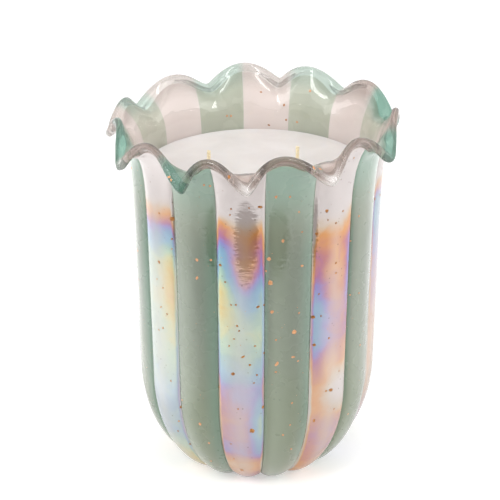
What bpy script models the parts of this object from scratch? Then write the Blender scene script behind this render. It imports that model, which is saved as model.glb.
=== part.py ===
"""Ruffled and striped glass vessel, filled with wax and set with wicks.

Metres, +Z up. The origin is the middle of the flat base, and the front of the vessel faces -Y.
Angles around the vessel are in degrees from the front, growing towards +X.
Stations along the wall run from 0 at the base's edge to 1 at the belly, 2 at the neck
and 3 just under the clear lip.
"""
from math import asin, cos, degrees, log, pi, radians, sin

import bmesh
import bpy
from mathutils import Vector

OBJECT_NAME = "ruffled_striped_candle_vessel"

# Clear casing, outer face: the wall spreads evenly upwards, and once more just under the neck
BASE_RADIUS = 0.020
BELLY_RADIUS = 0.0546
BELLY_HEIGHT = 0.054
WALL_RISE = 0.098
WALL_SPREAD = 0.0022
NECK_SPREAD = 0.0006
NECK_SHARPNESS = 6
CASING_WALL = 0.0024
FLOOR_THICKNESS = 0.010

# Ruffled rim, measured from the neck
LIP_BAND = 0.003
LIP_THICKNESS = 0.0034
CRIMP_ROUNDING = 0.45

# Each crimp's angle, and there the rise of the lip, the rise of the bend behind it, and the flare
CRIMPS = (
    (-160, 0.0126, 0.0134, 0.0113),
    (-123, 0.0114, 0.0140, 0.0113),
    (-97, 0.0112, 0.0185, 0.0115),
    (-62, 0.0110, 0.0245, 0.0115),
    (-28, 0.0116, 0.0235, 0.0115),
    (-3, 0.0138, 0.0270, 0.0113),
    (29, 0.0153, 0.0310, 0.0111),
    (60, 0.0158, 0.0280, 0.0111),
    (103, 0.0130, 0.0200, 0.0079),
    (142, 0.0144, 0.0160, 0.0113),
    (170, 0.0145, 0.0140, 0.0113),
)

# The lobe after each crimp: the same three lengths at its peak, the peak's place between the crimps
# as a share, and the lobe's fullness, where a lower value swells it closer to its crimps
LOBES = (
    (0.0232, 0.0130, 0.0083, 0.54, 0.10),
    (0.0210, 0.0130, 0.0105, 0.50, 0.80),
    (0.0240, 0.0135, 0.0081, 0.50, 0.80),
    (0.0244, 0.0140, 0.0081, 0.42, 0.80),
    (0.0240, 0.0145, 0.0081, 0.36, 0.80),
    (0.0264, 0.0150, 0.0081, 0.42, 0.60),
    (0.0284, 0.0160, 0.0081, 0.48, 0.80),
    (0.0280, 0.0160, 0.0081, 0.50, 0.80),
    (0.0256, 0.0150, 0.0081, 0.50, 0.40),
    (0.0244, 0.0140, 0.0081, 0.51, 0.10),
    (0.0246, 0.0130, 0.0081, 0.51, 0.10),
)

# Glass stripes laid on the casing by hand, so that their even layout has turned a little at the back
STRIPE_COUNT = 16
FIRST_STRIPE_ANGLE = 3.8
STRIPE_TURN_AT_BACK = 2.4
STRIPE_CROWN = 0.0022
STRIPE_EDGE = 0.0006
STRIPE_CROWN_AT_LIP = 0.0009
STRIPE_FOOT_LIFT = 0.0004

# Wax and wicks
WAX_BELOW_NECK = 0.0052
WICK_COUNT = 3
FIRST_WICK_ANGLE = 7
WICK_CIRCLE_RADIUS = 0.0245
WICK_RADIUS = 0.0010
WICK_PROUD = 0.0075
TAB_RADIUS = 0.00625
TAB_THICKNESS = 0.0006
TAB_NECK_HEIGHT = 0.006
TAB_NECK_WALL = 0.0006
STICKER_RADIUS = 0.0055
STICKER_THICKNESS = 0.0008
FLOOR_MARGIN = 0.0008

# Clearance between neighbouring pieces
GAP = 0.0003

# Facets, and the small steps that directions and places are found with
COLUMNS_PER_STRIPE = 6
BASE_ROWS = 5
WALL_ROWS = 2
FLARE_ROWS = 6
LIP_ROWS = 3
ROUND_STEPS = 20
SMOOTH_ANGLE = 40
NORMAL_STEP = 0.001
HALVINGS = 40

# Sizes that follow from those above
NECK_HEIGHT = BELLY_HEIGHT + WALL_RISE
NECK_RADIUS = BELLY_RADIUS + WALL_SPREAD + NECK_SPREAD
NECK_LEAN = (WALL_SPREAD + NECK_SHARPNESS * NECK_SPREAD) / WALL_RISE
WAX_TOP = NECK_HEIGHT - WAX_BELOW_NECK
FLOOR_RADIUS = WICK_CIRCLE_RADIUS + TAB_RADIUS + FLOOR_MARGIN
STICKER_BOTTOM = FLOOR_THICKNESS + GAP
TAB_BOTTOM = STICKER_BOTTOM + STICKER_THICKNESS + GAP
TAB_BORE = WICK_RADIUS + GAP
STRIPE_ANGLE = 360 / STRIPE_COUNT
COLUMN_COUNT = STRIPE_COUNT * COLUMNS_PER_STRIPE


def clear_scene():
    """Remove every object, so that the script starts from an empty scene."""
    for obj in list(bpy.data.objects):
        bpy.data.objects.remove(obj, do_unlink=True)


def new_collection(name):
    collection = bpy.data.collections.new(name)
    bpy.context.scene.collection.children.link(collection)
    return collection


def new_material(name, colour, roughness, metallic=0.0, transmission=0.0):
    material = bpy.data.materials.new(name)
    material.use_nodes = True
    shader = material.node_tree.nodes["Principled BSDF"]
    shader.inputs["Base Color"].default_value = (*colour, 1.0)
    shader.inputs["Roughness"].default_value = roughness
    shader.inputs["Metallic"].default_value = metallic
    shader.inputs["Transmission Weight"].default_value = transmission
    return material


def around(angle, radius, height):
    """A point at an angle from the front, a radius from the axis and a height."""
    turn = radians(angle)
    return Vector((radius * sin(turn), -radius * cos(turn), height))


def between_crimps(angle):
    """The crimps on both sides of an angle, the lobe between them, and the share of the way across it."""
    first = CRIMPS[0][0]
    turn = (angle - first) % 360
    starts = [crimp[0] - first for crimp in CRIMPS]
    index = max(i for i, start in enumerate(starts) if start <= turn)
    end = [*starts, 360][index + 1]
    share = (turn - starts[index]) / (end - starts[index])
    return CRIMPS[index], CRIMPS[(index + 1) % len(CRIMPS)], LOBES[index], share


def lobe_swell(share, peak_place, fullness):
    """How far a lobe has risen: 0 at the crimps on both sides of it, and 1 at its peak."""
    wave = sin(pi * share ** (log(0.5) / log(peak_place)))
    least = CRIMP_ROUNDING ** fullness
    most = (1 + CRIMP_ROUNDING ** 2) ** (fullness / 2)
    return ((wave ** 2 + CRIMP_ROUNDING ** 2) ** (fullness / 2) - least) / (most - least)


def flare_points(angle):
    """Neck, bend and lip: the three radius and height pairs that the flare curves through."""
    before, after, lobe, share = between_crimps(angle)
    swell = lobe_swell(share, *lobe[3:])
    lengths = []
    for low, high, peak in zip(before[1:], after[1:], lobe):
        between = low + (high - low) * share
        lengths.append(between + (peak - between) * swell)
    lip_rise, bend_rise, lip_flare = lengths
    neck = Vector((NECK_RADIUS, NECK_HEIGHT))
    bend = Vector((NECK_RADIUS + NECK_LEAN * bend_rise, NECK_HEIGHT + bend_rise))
    lip = Vector((NECK_RADIUS + lip_flare, NECK_HEIGHT + lip_rise))
    return neck, bend, lip


def flare(angle, part, band):
    """Radius and height along the flare, which ends short of the lip by a band of that width."""
    neck, bend, lip = flare_points(angle)
    reach = 1 - band / (2 * (lip - bend).length)
    t = part * reach
    return neck * (1 - t) ** 2 + bend * (2 * t * (1 - t)) + lip * t ** 2


def outer_point(angle, station, band=LIP_BAND):
    """A point on the casing's outer face."""
    if station <= 1:
        turn = station * pi / 2
        radius = BASE_RADIUS + (BELLY_RADIUS - BASE_RADIUS) * sin(turn)
        return around(angle, radius, BELLY_HEIGHT * (1 - cos(turn)))
    if station <= 2:
        part = station - 1
        radius = BELLY_RADIUS + WALL_SPREAD * part + NECK_SPREAD * part ** NECK_SHARPNESS
        return around(angle, radius, BELLY_HEIGHT + WALL_RISE * part)
    radius, height = flare(angle, station - 2, band)
    return around(angle, radius, height)


def outward(angle, station, band=LIP_BAND):
    """The casing's outward direction at a point, and the direction along the wall towards the lip."""
    low = max(station - NORMAL_STEP, 0.0)
    high = min(station + NORMAL_STEP, 3.0)
    along = outer_point(angle, high, band) - outer_point(angle, low, band)
    turn_step = degrees(NORMAL_STEP)
    across = outer_point(angle + turn_step, station, band) - outer_point(angle - turn_step, station, band)
    return across.cross(along).normalized(), along.normalized()


def inner_point(angle, station, inset=0.0):
    """A point on the casing's inner face, or inset from that face towards the hollow."""
    if station < 1:
        turn = station * pi / 2
        width = BELLY_RADIUS - CASING_WALL - FLOOR_RADIUS
        depth = BELLY_HEIGHT - FLOOR_THICKNESS
        radius = FLOOR_RADIUS + width * sin(turn)
        height = FLOOR_THICKNESS + depth * (1 - cos(turn))
        lean = Vector((depth * sin(turn), width * cos(turn))).normalized()
        return around(angle, radius - inset * lean.x, height + inset * lean.y)
    normal, _ = outward(angle, station)
    return outer_point(angle, station) - normal * (CASING_WALL + inset)


def foot_station():
    """The station where a stripe's crown stands just clear of the table."""
    low, high = 0.0, 1.0
    for _ in range(HALVINGS):
        middle = (low + high) / 2
        normal, _ = outward(0.0, middle)
        crown = outer_point(0.0, middle) + normal * (GAP + STRIPE_CROWN)
        if crown.z < STRIPE_FOOT_LIFT:
            low = middle
        else:
            high = middle
    return high


def stripe_stations():
    """The stations of a stripe's cross sections, from its foot to just under the lip."""
    foot = foot_station()
    base = [foot + (1 - foot) * i / BASE_ROWS for i in range(BASE_ROWS)]
    wall = [1 + i / WALL_ROWS for i in range(WALL_ROWS)]
    rim = [2 + i / FLARE_ROWS for i in range(FLARE_ROWS + 1)]
    return base + wall + rim


def hand_laid(angle):
    """An angle in an even layout of stripes, moved to where the hand-laid stripes are."""
    return angle + STRIPE_TURN_AT_BACK * (1 - cos(radians(angle))) / 2


def column_angles():
    """The angles of a ring's points, turning the same way as a stripe's inner face."""
    even = [FIRST_STRIPE_ANGLE + i * 360 / COLUMN_COUNT for i in range(COLUMN_COUNT)]
    return [hand_laid(angle) for angle in reversed(even)]


def ring(point, station, **options):
    """A closed ring of points around the vessel."""
    return [point(angle, station, **options) for angle in column_angles()]


def lip_ring(turn):
    """A ring on the rounded lip: 0 is at the outer face, and half a turn is at the inner one."""
    points = []
    half = LIP_THICKNESS / 2
    for angle in column_angles():
        normal, along = outward(angle, 3.0, band=0.0)
        middle = outer_point(angle, 3.0, band=0.0) + normal * (half - CASING_WALL)
        points.append(middle + (normal * cos(turn) + along * sin(turn)) * half)
    return points


def finish_mesh(name, work, material, collection):
    """An object from a closed mesh, with its faces turned outwards."""
    if work.calc_volume(signed=True) < 0:
        bmesh.ops.reverse_faces(work, faces=work.faces)
    mesh = bpy.data.meshes.new(name)
    work.to_mesh(mesh)
    work.free()
    mesh.shade_smooth()
    mesh.set_sharp_from_angle(angle=radians(SMOOTH_ANGLE))
    mesh.materials.append(material)
    obj = bpy.data.objects.new(name, mesh)
    collection.objects.link(obj)
    return obj


def loft(name, rings, material, collection, outer_count=0):
    """A closed body through rings of equally many points, with a flat cap on the first and the last.

    No turned profile or primitive gives the ruffle, so its faces are made here. Each four-sided
    patch is split along the same diagonal on both sides of a gap or of a thin piece, so that these
    stay even. The first patches of each ring, as many as outer_count, are a piece's outer face,
    where the ring runs the other way round.
    """
    work = bmesh.new()
    rows = [[work.verts.new(point) for point in points] for points in rings]
    count = len(rows[0])
    for low, high in zip(rows, rows[1:]):
        for i in range(count):
            j = (i + 1) % count
            if i < outer_count:
                work.faces.new((low[i], low[j], high[i]))
                work.faces.new((low[j], high[j], high[i]))
            else:
                work.faces.new((low[i], low[j], high[j]))
                work.faces.new((low[i], high[j], high[i]))
    work.faces.new(reversed(rows[0]))
    work.faces.new(rows[-1])
    return finish_mesh(name, work, material, collection)


def turned(name, profile, closed, material, collection):
    """A body of revolution about Z, from radius and height pairs that run down the outer side."""
    mesh = bpy.data.meshes.new(name)
    points = [(radius, 0.0, height) for radius, height in profile]
    edges = [(i, i + 1) for i in range(len(points) - 1)]
    if closed:
        edges.append((len(points) - 1, 0))
    mesh.from_pydata(points, edges, [])
    obj = bpy.data.objects.new(name, mesh)
    collection.objects.link(obj)
    screw = obj.modifiers.new("turn", "SCREW")
    screw.steps = ROUND_STEPS
    screw.render_steps = ROUND_STEPS
    screw.use_merge_vertices = True
    screw.merge_threshold = 0.00001
    if material:
        mesh.materials.append(material)
    return obj


def make_casing(material, collection):
    """The clear glass vessel: up the outer face, over the lip and down the inner face."""
    stations = [0.0] + stripe_stations()
    outer = [ring(outer_point, station) for station in stations]
    outer.append(ring(outer_point, stations[-1], band=LIP_BAND / 2))
    lip = [lip_ring(pi * i / LIP_ROWS) for i in range(LIP_ROWS + 1)]
    inner = [ring(inner_point, station) for station in reversed(stations)]
    return loft("clear_casing", outer + lip + inner, material, collection)


def stripe_crown(station):
    """The glass thickness in the middle of a stripe, which thins out towards the lip."""
    rise = min(max(station - 2, 0.0), 1.0)
    return STRIPE_CROWN_AT_LIP + (STRIPE_CROWN - STRIPE_CROWN_AT_LIP) * (1 - rise) ** 2


def stripe_section(first_angle, station):
    """A closed cross section: along the rounded outer face, and back along the casing."""
    outer_side = []
    inner_side = []
    radius = outer_point(hand_laid(first_angle), station).xy.length
    inset = degrees(asin(GAP / 2 / radius))
    for i in range(COLUMNS_PER_STRIPE + 1):
        across = 2 * i / COLUMNS_PER_STRIPE - 1
        angle = hand_laid(first_angle + STRIPE_ANGLE * (across + 1) / 2)
        if i == 0:
            angle += inset
        if i == COLUMNS_PER_STRIPE:
            angle -= inset
        thickness = STRIPE_EDGE + (stripe_crown(station) - STRIPE_EDGE) * (1 - across ** 2)
        normal, _ = outward(angle, station)
        seat = outer_point(angle, station) + normal * GAP
        inner_side.append(seat)
        outer_side.append(seat + normal * thickness)
    return outer_side + inner_side[::-1]


def make_stripes(materials, collection):
    """Stripes of two glasses that take turns around the casing."""
    stations = stripe_stations()
    for i in range(STRIPE_COUNT):
        kind = ("green_stripe", "pearl_stripe")[i % 2]
        first_angle = FIRST_STRIPE_ANGLE + i * STRIPE_ANGLE
        sections = [stripe_section(first_angle, station) for station in stations]
        loft(f"{kind}_{i // 2 + 1}", sections, materials[i % 2], collection, COLUMNS_PER_STRIPE)


def wick_places():
    angles = [FIRST_WICK_ANGLE + i * 360 / WICK_COUNT for i in range(WICK_COUNT)]
    return [around(angle, WICK_CIRCLE_RADIUS, 0.0) for angle in angles]


def make_wax(material, collection, cutters):
    """The wax: it fills the casing's inner face, with a recess for each wick, tab and sticker."""
    wax_station = 1 + (WAX_TOP - BELLY_HEIGHT) / WALL_RISE
    stations = [0.0] + [station for station in stripe_stations() if station < wax_station]
    rings = [ring(inner_point, station, inset=GAP) for station in stations]
    top = ring(inner_point, wax_station, inset=GAP)
    rings.append([Vector((point.x, point.y, WAX_TOP)) for point in top])
    wax = loft("wax_fill", rings, material, collection)
    for i, place in enumerate(wick_places()):
        cutter = turned(f"wick_recess_{i + 1}", recess_profile(), False, None, cutters)
        cutter.location = place
        cutter.hide_render = True
        cutter.display_type = "WIRE"
        cut = wax.modifiers.new(f"recess_{i + 1}", "BOOLEAN")
        cut.operation = "DIFFERENCE"
        cut.object = cutter
    return wax


def recess_profile():
    """The hollow in the wax round one wick, its tab and its sticker, open at both ends."""
    neck_top = TAB_BOTTOM + TAB_THICKNESS + TAB_NECK_HEIGHT + GAP
    disc_top = TAB_BOTTOM + TAB_THICKNESS + GAP
    bore = WICK_RADIUS + GAP
    neck = TAB_BORE + TAB_NECK_WALL + GAP
    disc = max(TAB_RADIUS, STICKER_RADIUS) + GAP
    above = WAX_TOP + WICK_PROUD
    below = FLOOR_THICKNESS - STICKER_THICKNESS
    return [(0.0, above), (bore, above), (bore, neck_top), (neck, neck_top), (neck, disc_top),
            (disc, disc_top), (disc, below), (0.0, below)]


def make_wick(name, place, material, collection):
    """A straight cotton wick, from the foot of its tab to a little above the wax."""
    curve = bpy.data.curves.new(name, "CURVE")
    curve.dimensions = "3D"
    curve.bevel_depth = WICK_RADIUS
    curve.bevel_resolution = 2
    curve.use_fill_caps = True
    spline = curve.splines.new("POLY")
    spline.points.add(1)
    spline.points[0].co = (0.0, 0.0, TAB_BOTTOM, 1.0)
    spline.points[1].co = (0.0, 0.0, WAX_TOP + WICK_PROUD, 1.0)
    curve.materials.append(material)
    wick = bpy.data.objects.new(name, curve)
    wick.location = place
    collection.objects.link(wick)


def make_tab(name, place, material, collection):
    """A thin metal disc with a neck that grips the wick's foot."""
    disc_top = TAB_BOTTOM + TAB_THICKNESS
    neck_top = disc_top + TAB_NECK_HEIGHT
    neck = TAB_BORE + TAB_NECK_WALL
    profile = [(neck, neck_top), (neck, disc_top), (TAB_RADIUS, disc_top), (TAB_RADIUS, TAB_BOTTOM),
               (TAB_BORE, TAB_BOTTOM), (TAB_BORE, neck_top)]
    tab = turned(name, profile, True, material, collection)
    tab.location = place


def make_sticker(name, place, material, collection):
    """An adhesive disc between the glass floor and a tab."""
    work = bmesh.new()
    bmesh.ops.create_cone(work, cap_ends=True, segments=ROUND_STEPS, radius1=STICKER_RADIUS,
                          radius2=STICKER_RADIUS, depth=STICKER_THICKNESS)
    sticker = finish_mesh(name, work, material, collection)
    sticker.location = place + Vector((0.0, 0.0, STICKER_BOTTOM + STICKER_THICKNESS / 2))


def main():
    clear_scene()
    parts = new_collection(OBJECT_NAME)
    cutters = new_collection(f"{OBJECT_NAME}_cutters")
    clear_glass = new_material("clear_glass", (0.86, 0.85, 0.82), 0.03, transmission=1.0)
    green_glass = new_material("green_glass", (0.26, 0.42, 0.34), 0.08, transmission=0.3)
    pearl_glass = new_material("pearl_glass", (0.82, 0.76, 0.76), 0.10, transmission=0.2)
    wax_white = new_material("wax_white", (0.82, 0.79, 0.75), 0.45)
    cotton = new_material("cotton", (0.88, 0.72, 0.34), 0.90)
    tin = new_material("tin", (0.70, 0.70, 0.70), 0.35, metallic=1.0)
    adhesive = new_material("adhesive", (0.85, 0.85, 0.82), 0.80)

    make_casing(clear_glass, parts)
    make_stripes((green_glass, pearl_glass), parts)
    make_wax(wax_white, parts, cutters)
    for i, place in enumerate(wick_places()):
        make_wick(f"wick_{i + 1}", place, cotton, parts)
        make_tab(f"wick_tab_{i + 1}", place, tin, parts)
        make_sticker(f"wick_sticker_{i + 1}", place, adhesive, parts)

    vessel = bpy.data.objects.new(OBJECT_NAME, None)
    for obj in [*parts.objects, *cutters.objects]:
        obj.parent = vessel
    parts.objects.link(vessel)


main()
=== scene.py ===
from itertools import chain
from math import cos, pi, radians, sin
from random import Random

import bmesh
import bpy
import numpy as np
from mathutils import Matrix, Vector
from mathutils.bvhtree import BVHTree


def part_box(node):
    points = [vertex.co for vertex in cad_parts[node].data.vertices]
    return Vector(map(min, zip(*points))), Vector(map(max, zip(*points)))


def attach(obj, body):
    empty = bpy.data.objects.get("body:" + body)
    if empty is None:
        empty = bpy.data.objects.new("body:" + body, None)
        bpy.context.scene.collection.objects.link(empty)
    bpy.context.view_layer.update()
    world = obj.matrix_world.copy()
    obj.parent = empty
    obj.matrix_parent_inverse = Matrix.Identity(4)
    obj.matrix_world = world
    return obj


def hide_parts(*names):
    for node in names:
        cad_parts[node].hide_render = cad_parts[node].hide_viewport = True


# Looks of the ruffled, striped glass vessel with its wax and wicks.
# Metres, +Z up, in the frame's own place. The photographed side faces -Y.
# Angles are in degrees from the front, growing towards +X. Stations along the wall run from 0 at
# the base's edge to 1 at the belly, 2 at the neck and 3 just under the clear lip. Stripes are counted
# from 0, just right of the front, and are green and pearl by turns.

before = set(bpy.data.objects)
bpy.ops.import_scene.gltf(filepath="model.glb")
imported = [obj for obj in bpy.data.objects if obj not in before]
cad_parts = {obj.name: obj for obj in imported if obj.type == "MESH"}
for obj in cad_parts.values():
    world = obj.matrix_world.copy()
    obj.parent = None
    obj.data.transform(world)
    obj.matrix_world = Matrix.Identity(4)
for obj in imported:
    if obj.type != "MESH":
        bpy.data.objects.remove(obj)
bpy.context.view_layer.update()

# Clear casing: the wall spreads evenly upwards, and once more just under the neck, where it bends
# a little more sharply than in the solids
BASE_RADIUS = 0.020
BELLY_RADIUS = 0.0546
BELLY_HEIGHT = 0.054
WALL_RISE = 0.098
WALL_SPREAD = 0.0022
NECK_SPREAD = 0.0006
NECK_SHARPNESS = 10
CASING_WALL = 0.0024
FLOOR_THICKNESS = 0.010
FLOOR_RADIUS = 0.03155

# Ruffled rim, measured from the neck, as in the solids
CRIMP_ROUNDING = 0.45

# Each crimp's angle, and there the rise of the lip, the rise of the bend behind it, and the flare
CRIMPS = (
    (-160, 0.0126, 0.0134, 0.0113),
    (-123, 0.0114, 0.0140, 0.0113),
    (-97, 0.0112, 0.0185, 0.0115),
    (-62, 0.0110, 0.0245, 0.0115),
    (-28, 0.0116, 0.0235, 0.0115),
    (-3, 0.0138, 0.0270, 0.0113),
    (29, 0.0153, 0.0310, 0.0111),
    (60, 0.0158, 0.0280, 0.0111),
    (103, 0.0130, 0.0200, 0.0079),
    (142, 0.0144, 0.0160, 0.0113),
    (170, 0.0145, 0.0140, 0.0113),
)

# The lobe after each crimp: the same three lengths at its peak, the peak's place between the crimps
# as a share, and the lobe's fullness, where a lower value swells it closer to its crimps
LOBES = (
    (0.0232, 0.0130, 0.0083, 0.54, 0.10),
    (0.0210, 0.0130, 0.0105, 0.50, 0.80),
    (0.0240, 0.0135, 0.0081, 0.50, 0.80),
    (0.0244, 0.0140, 0.0081, 0.42, 0.80),
    (0.0240, 0.0145, 0.0081, 0.36, 0.80),
    (0.0264, 0.0150, 0.0081, 0.42, 0.60),
    (0.0284, 0.0160, 0.0081, 0.48, 0.80),
    (0.0280, 0.0160, 0.0081, 0.50, 0.80),
    (0.0256, 0.0150, 0.0081, 0.50, 0.40),
    (0.0244, 0.0140, 0.0081, 0.51, 0.10),
    (0.0246, 0.0130, 0.0081, 0.51, 0.10),
)

# Lip: its bead, and the band of bare casing between its edge and the stripes, wider at the crimps
LIP_STATION = 3.0
LIP_THICKNESS = 0.0034
LIP_SWELL_AT_CRIMPS = 0.25
LIP_BAND = 0.0026
LIP_BAND_AT_CRIMPS = 0.0050

# Lip's tint: smoky around its front, which is partly the glass's own tint and partly painted shade for
# the dark room seen in the glass, green beyond that over the green stripes, and pale behind, which is
# painted light. The half width and the edge of the green are shares of a stripe's width, and a higher
# power starts the tint later up the flare or keeps the clear tips smaller
LIP_FRONT = 15
LIP_PAINTED_SHADE_HALF = 35
LIP_GREEN_FADE = 8
LIP_GREEN_HALF = 0.4
LIP_GREEN_EDGE = 0.2
LIP_PAINTED_LIGHT_FROM = 100
LIP_PAINTED_LIGHT_FADE = 35
LIP_TINT_POWER = 4
LIP_TIP_POWER = 4

# Glass stripes, sunk a little into the casing as if fused to it. Each fills a share of its own place, so
# that neighbours don't touch, and its edges round down by most of their thickness
STRIPE_KINDS = ("green", "pearl")
STRIPE_COUNT = 16
FIRST_STRIPE_ANGLE = 3.8
STRIPE_TURN_AT_BACK = 2.4
STRIPE_FILL = 0.999
STRIPE_CROWN = 0.0025
STRIPE_EDGE = 0.0006
STRIPE_CROWN_AT_LIP = 0.0010
STRIPE_FOOT_LIFT = 0.0004
STRIPE_EDGE_ROUNDING = 0.14
STRIPE_EDGE_FALL = 0.97
STRIPE_END_TAPER = 0.12
STRIPE_END_SHARE = 0.35
FUSED_DEPTH = 0.00015

# Film on the pearl stripes. Falls are shares of the way from FILM_TOP down to the table, and steps are
# places in the film's run of colours. Bands: where each front stripe's film reaches a step
FILM_TOP = 0.1775
FILM_BANDS = {
    1: ((0.15, 0.01), (0.21, 0.10), (0.27, 0.17), (0.35, 0.18), (0.46, 0.26), (0.56, 0.25),
        (0.64, 0.17), (0.74, 0.16), (0.80, 0.26), (0.88, 0.24), (1.00, 0.11)),
    3: ((0.14, 0.04), (0.21, 0.47), (0.27, 0.50), (0.37, 0.35), (0.50, 0.26), (0.72, 0.17), (1.00, 0.42)),
    13: ((0.14, 0.02), (0.18, 0.09), (0.21, 0.20), (0.24, 0.36), (0.29, 0.50), (0.34, 0.60),
         (0.62, 0.60), (0.75, 0.52), (0.84, 0.50), (0.91, 0.72), (1.00, 0.82)),
    15: ((0.14, 0.00), (0.21, 0.30), (0.25, 0.52), (0.38, 0.82), (0.42, 0.82), (0.56, 0.57), (0.61, 0.50),
         (0.65, 0.34), (0.72, 0.27), (0.80, 0.29), (0.86, 0.36), (0.91, 0.17), (1.00, 0.27)),
}

# Patches where a front stripe's film is thicker or thinner, one of them a painted reflection: its stripe,
# fall, place across from -1 to 1, height, width, and the change of step
FILM_PATCHES = (
    (1, 0.47, -0.95, 0.17, 0.70, 0.21),
    (1, 0.33, 1.00, 0.13, 0.40, 0.28),
    # A painted reflection: this patch thins the film to the bare pearl white where a softbox is mirrored on
    # the rib
    (1, 0.69, 0.50, 0.06, 0.90, -0.13),
    (13, 0.40, 1.00, 0.16, 0.80, 0.22),
    (15, 0.315, 0.25, 0.105, 0.75, -0.47),
    (15, 0.43, 0.60, 0.06, 0.80, -0.13),
    (15, 0.765, 0.95, 0.07, 0.45, 0.36),
)

# How strong the film's colours are: along the fall, on each front stripe, and on the others
FILM_VIVID_FALL = (0.00, 0.28, 0.42, 0.80, 0.88, 1.00)
FILM_VIVID = (1.00, 1.00, 0.70, 0.60, 0.72, 0.90)
FILM_VIVID_STRIPES = {1: 1.15, 3: 0.60, 13: 0.80, 15: 1.05}
FILM_VIVID_UNSEEN = 0.75

# Film on the stripes that the photograph doesn't show: seeded patches, with the lowest and highest of
# their fall, place across, height, width and change of step
FILM_SEED = 5
UNSEEN_PATCHES = 5
UNSEEN_PATCH_LIMITS = ((0.15, 0.85), (-0.9, 0.9), (0.04, 0.10), (0.35, 0.80), (-0.28, 0.28))

# Wax: it rises where it wets the glass, and its top has a slight wave
WAX_TOP = 0.1468
MENISCUS_RISE = 0.0009
MENISCUS_WIDTH = 0.0022
WAX_WAVE = 0.00025
WAX_WAVE_COUNT = 3
WAX_WAVE_TWIST = 7

# Wicks, each a flat braid of strands
WICK_NAMES = ("wick_1", "wick_2", "wick_3")
BRAID_PITCH = 0.0042
BRAID_WIDTH = 0.00056
BRAID_DEPTH = 0.00030
STRAND_RADIUS = 0.00042
STRAND_COUNT = 3

# Foil flecks that the photograph shows: each size in pixels, with the places of that size as pixels
# across and down
SEEN_FLECKS = {
    4.7: (
        (172, 219), (260, 207), (270, 283), (294, 332), (252, 431), (277, 364), (331, 390),
    ),
    3.5: (
        (159, 262), (197, 260), (197, 278), (220, 265), (258, 307), (276, 197), (327, 211), (283, 241),
        (317, 234), (269, 259), (302, 266), (313, 317), (272, 312), (243, 357), (233, 374), (181, 407),
        (200, 424), (242, 470), (293, 357), (314, 345), (263, 407), (314, 421), (169, 177), (229, 177),
        (314, 168), (320, 169),
    ),
    2.2: (
        (230, 215), (231, 209), (249, 208), (159, 213), (172, 239), (172, 249), (211, 260), (163, 288),
        (157, 279), (161, 307), (167, 314), (163, 328), (159, 330), (236, 305), (231, 305), (225, 282),
        (237, 326), (239, 331), (290, 197), (343, 211), (299, 212), (328, 220), (336, 223), (302, 232),
        (266, 271), (336, 263), (336, 273), (319, 294), (321, 316), (264, 305), (299, 313), (329, 338),
        (359, 216), (375, 199), (359, 293), (350, 241), (350, 295), (229, 346), (234, 339), (255, 346),
        (250, 365), (257, 375), (254, 383), (171, 381), (182, 400), (178, 431), (179, 421), (190, 444),
        (209, 443), (219, 387), (238, 409), (234, 459), (211, 461), (231, 444), (276, 340), (276, 372),
        (264, 353), (298, 361), (326, 391), (334, 409), (339, 371), (292, 403), (290, 425), (283, 435),
        (291, 449), (348, 414), (360, 345), (171, 180), (354, 158), (204, 185), (210, 186), (227, 116),
        (231, 116), (284, 105), (286, 120), (297, 122), (269, 125), (261, 92), (310, 91),
    ),
}

# Foil flecks strewn outside the angle that the photograph shows, and tiny specks all over. Stations
# are the lowest, the highest and the likeliest, and a higher rarity makes large ones rarer
FLECK_SEED = 11
STREWN_FLECKS = 150
FLECK_SMALLEST = 0.0005
FLECK_LARGEST = 0.0022
SHOWN_ANGLE = 72
SPECKS = 320
SPECK_SMALLEST = 0.00025
SPECK_LARGEST = 0.00055
FLECK_STATIONS = (0.4, 2.7, 1.4)
FLECK_RARITY = 2.0

# Shape of a fleck: its growth from the size in pixels, and how uneven its torn outline is. The top is
# a share of the outline, and the peak is a share of the thickness
FLECK_SPREAD = 1.45
FLECK_THICKNESS = 0.00014
FLECK_STRETCH = (0.55, 1.0)
FLECK_CORNERS = (6, 9)
FLECK_CORNER_SWAY = 0.3
FLECK_CORNER_REACH = (0.65, 1.0)
FLECK_TOP = 0.9
FLECK_PEAK = 1.4

# Looks that are shared: the range that noise mostly stays in, how glass bends light, and how strongly
# the small pits and bubbles in it show
NOISE_LOW = 0.3
NOISE_HIGH = 0.7
GLASS_IOR = 1.5
SEED_STRENGTH = 0.6

# Inside of the green stripes, seen through the mouth, turns paler to the sides with painted light: how
# far left or right of the middle it starts to turn paler, and how far out it has turned
INSIDE_PAINTED_LIGHT_EDGES = (0.03, 0.055)

# Mesh steps. The wax's rings crowd towards its edge, and the last one is a small share of its width
COLUMNS_PER_STRIPE = 24
BASE_ROWS = 24
WALL_ROWS = 24
FLARE_ROWS = 36
LIP_BAND_ROWS = 3
LIP_ROWS = 14
WAX_RINGS = 26
WAX_MIDDLE = 0.02
WAX_RING_CROWDING = 0.6
BRAID_POINTS = 14
STRAND_SMOOTHNESS = 2
NORMAL_STEP = 0.001
SMOOTH_ANGLE = 50
HALVINGS = 40

# Camera, fitted to the photograph
PHOTO_SIZE = 500
CAMERA_ELEVATION = 24.5
CAMERA_DISTANCE = 1.030
CAMERA_TARGET = Vector((-0.003, 0.0, 0.107))
CAMERA_SENSOR = 36
CAMERA_FOCUS_PIXELS = 2152.7

# Studio: the pale table ends a little way in front of the vessel, with a darker room beyond it. The
# glow makes the table white in the picture, and the surround's light is its share of the white
TABLE_SIDE = 5.0
TABLE_FRONT = 0.285
TABLE_BACK = 6.0
TABLE_GREY = 0.90
TABLE_GLOW = 0.35
SURROUND_LIGHT = 0.5

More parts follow.
